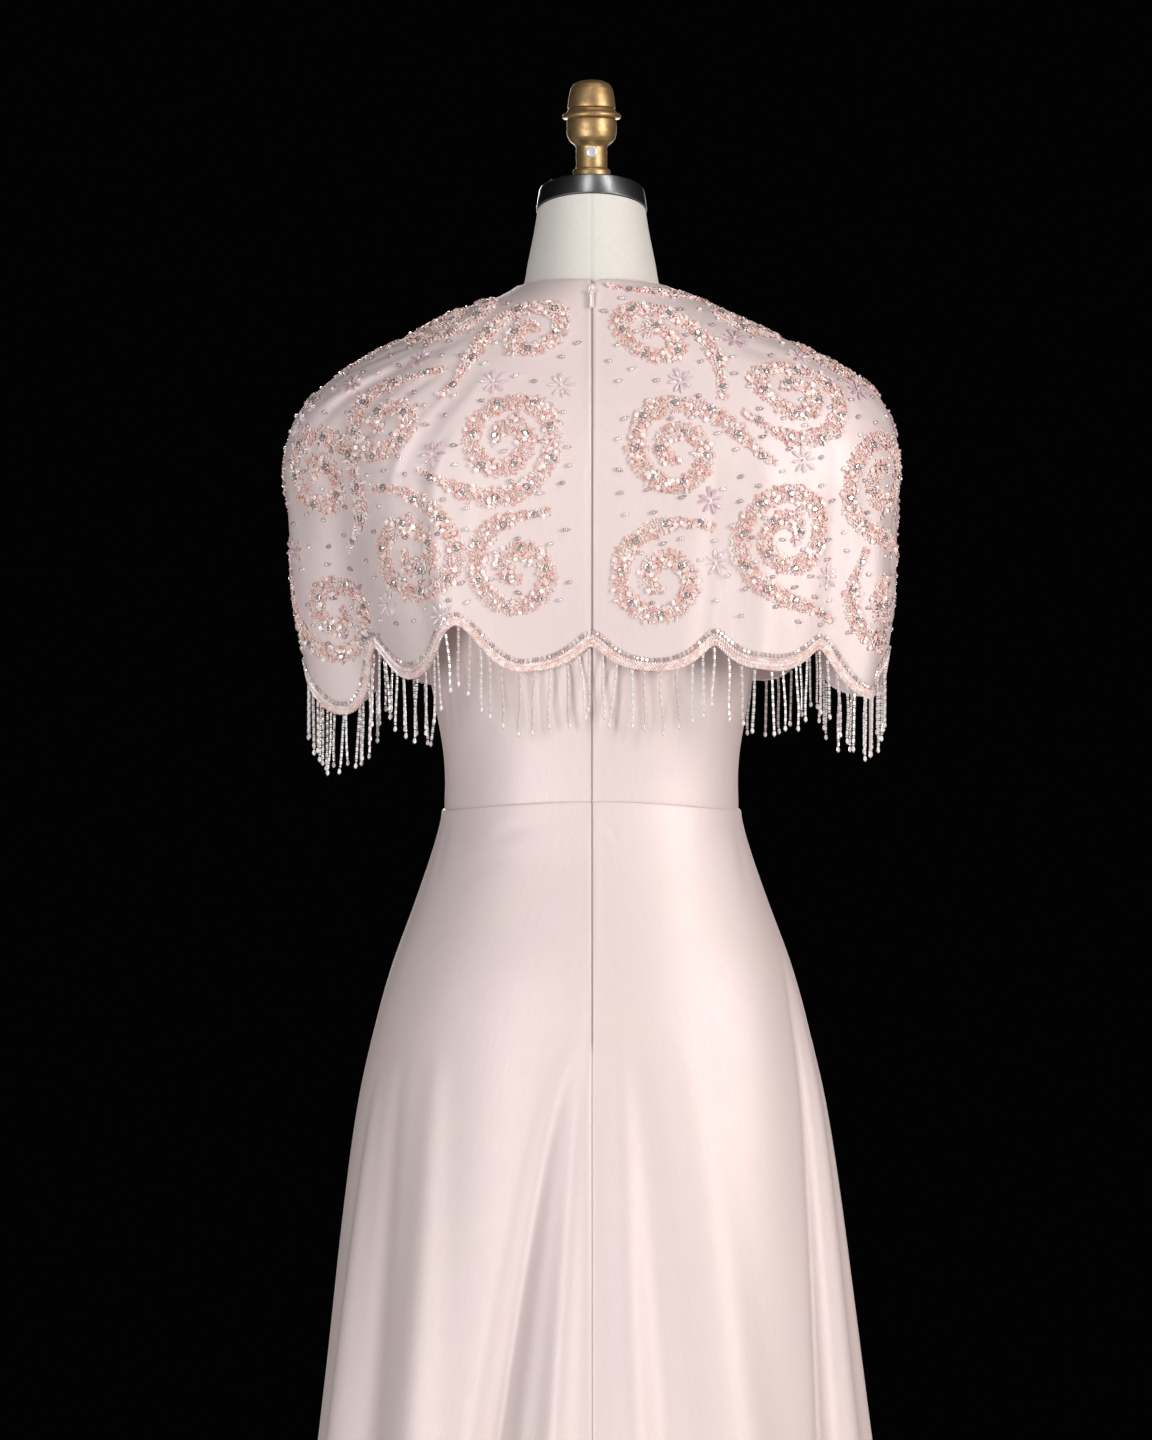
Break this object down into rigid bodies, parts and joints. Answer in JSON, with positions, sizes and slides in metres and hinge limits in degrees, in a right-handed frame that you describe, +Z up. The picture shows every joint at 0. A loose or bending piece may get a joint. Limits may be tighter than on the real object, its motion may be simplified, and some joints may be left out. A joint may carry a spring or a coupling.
{
  "type": "cape evening gown on a dress form",
  "caption": "Long flared satin gown with a fitted bodice, a scalloped beaded shoulder cape with a bead fringe and a back zip, on a limbless dress form with a pole and round base.",
  "frame": {"origin": "on the floor, under the middle of the object", "axes": "+Z up, the gown's front faces -Y and its zip faces +Y, +X is the wearer's left"},
  "size_m": [0.5719, 0.5129, 1.6689],
  "materials": {
    "satin": "soft sheen",
    "beading": "beaded",
    "crystal_beads": "gloss",
    "zip_tape": "matt",
    "zip_enamel": "satin",
    "linen": "matt woven",
    "steel": "turned",
    "brass": "aged",
    "nickel": "polished",
    "black_metal": "satin"
  },
  "bodies": {
    "gown_on_form": {"bodice_front": "satin", "bodice_back_left": "satin", "bodice_back_right": "satin", "skirt_front": "satin", "skirt_back_left": "satin", "skirt_back_right": "satin", "cape_front": "satin", "cape_back_left": "satin", "cape_back_right": "satin", "cape_band_front": "beading", "cape_band_back_left": "beading", "cape_band_back_right": "beading", "cape_fringe_front": "crystal_beads", "cape_fringe_back_left": "crystal_beads", "cape_fringe_back_right": "crystal_beads", "zip_tape": "zip_tape", "zip_slider": "zip_enamel", "form_torso": "linen", "neck_plate": "steel", "finial_cup": "brass", "finial_collar": "brass", "finial_cap": "brass", "finial_screw": "nickel", "form_flange": "black_metal", "stand_pole": "black_metal", "stand_socket": "black_metal", "stand_base": "black_metal"},
    "zip_pull": {"zip_pull": "zip_enamel"}
  },
  "joints": [
    {"name": "zip_pull_swing", "type": "hinge", "parent": "gown_on_form", "child": "zip_pull", "pos_m": [0, 0.06986, 1.49718], "axis": [1, 0, 0], "range_deg": [0, 150]}
  ]
}
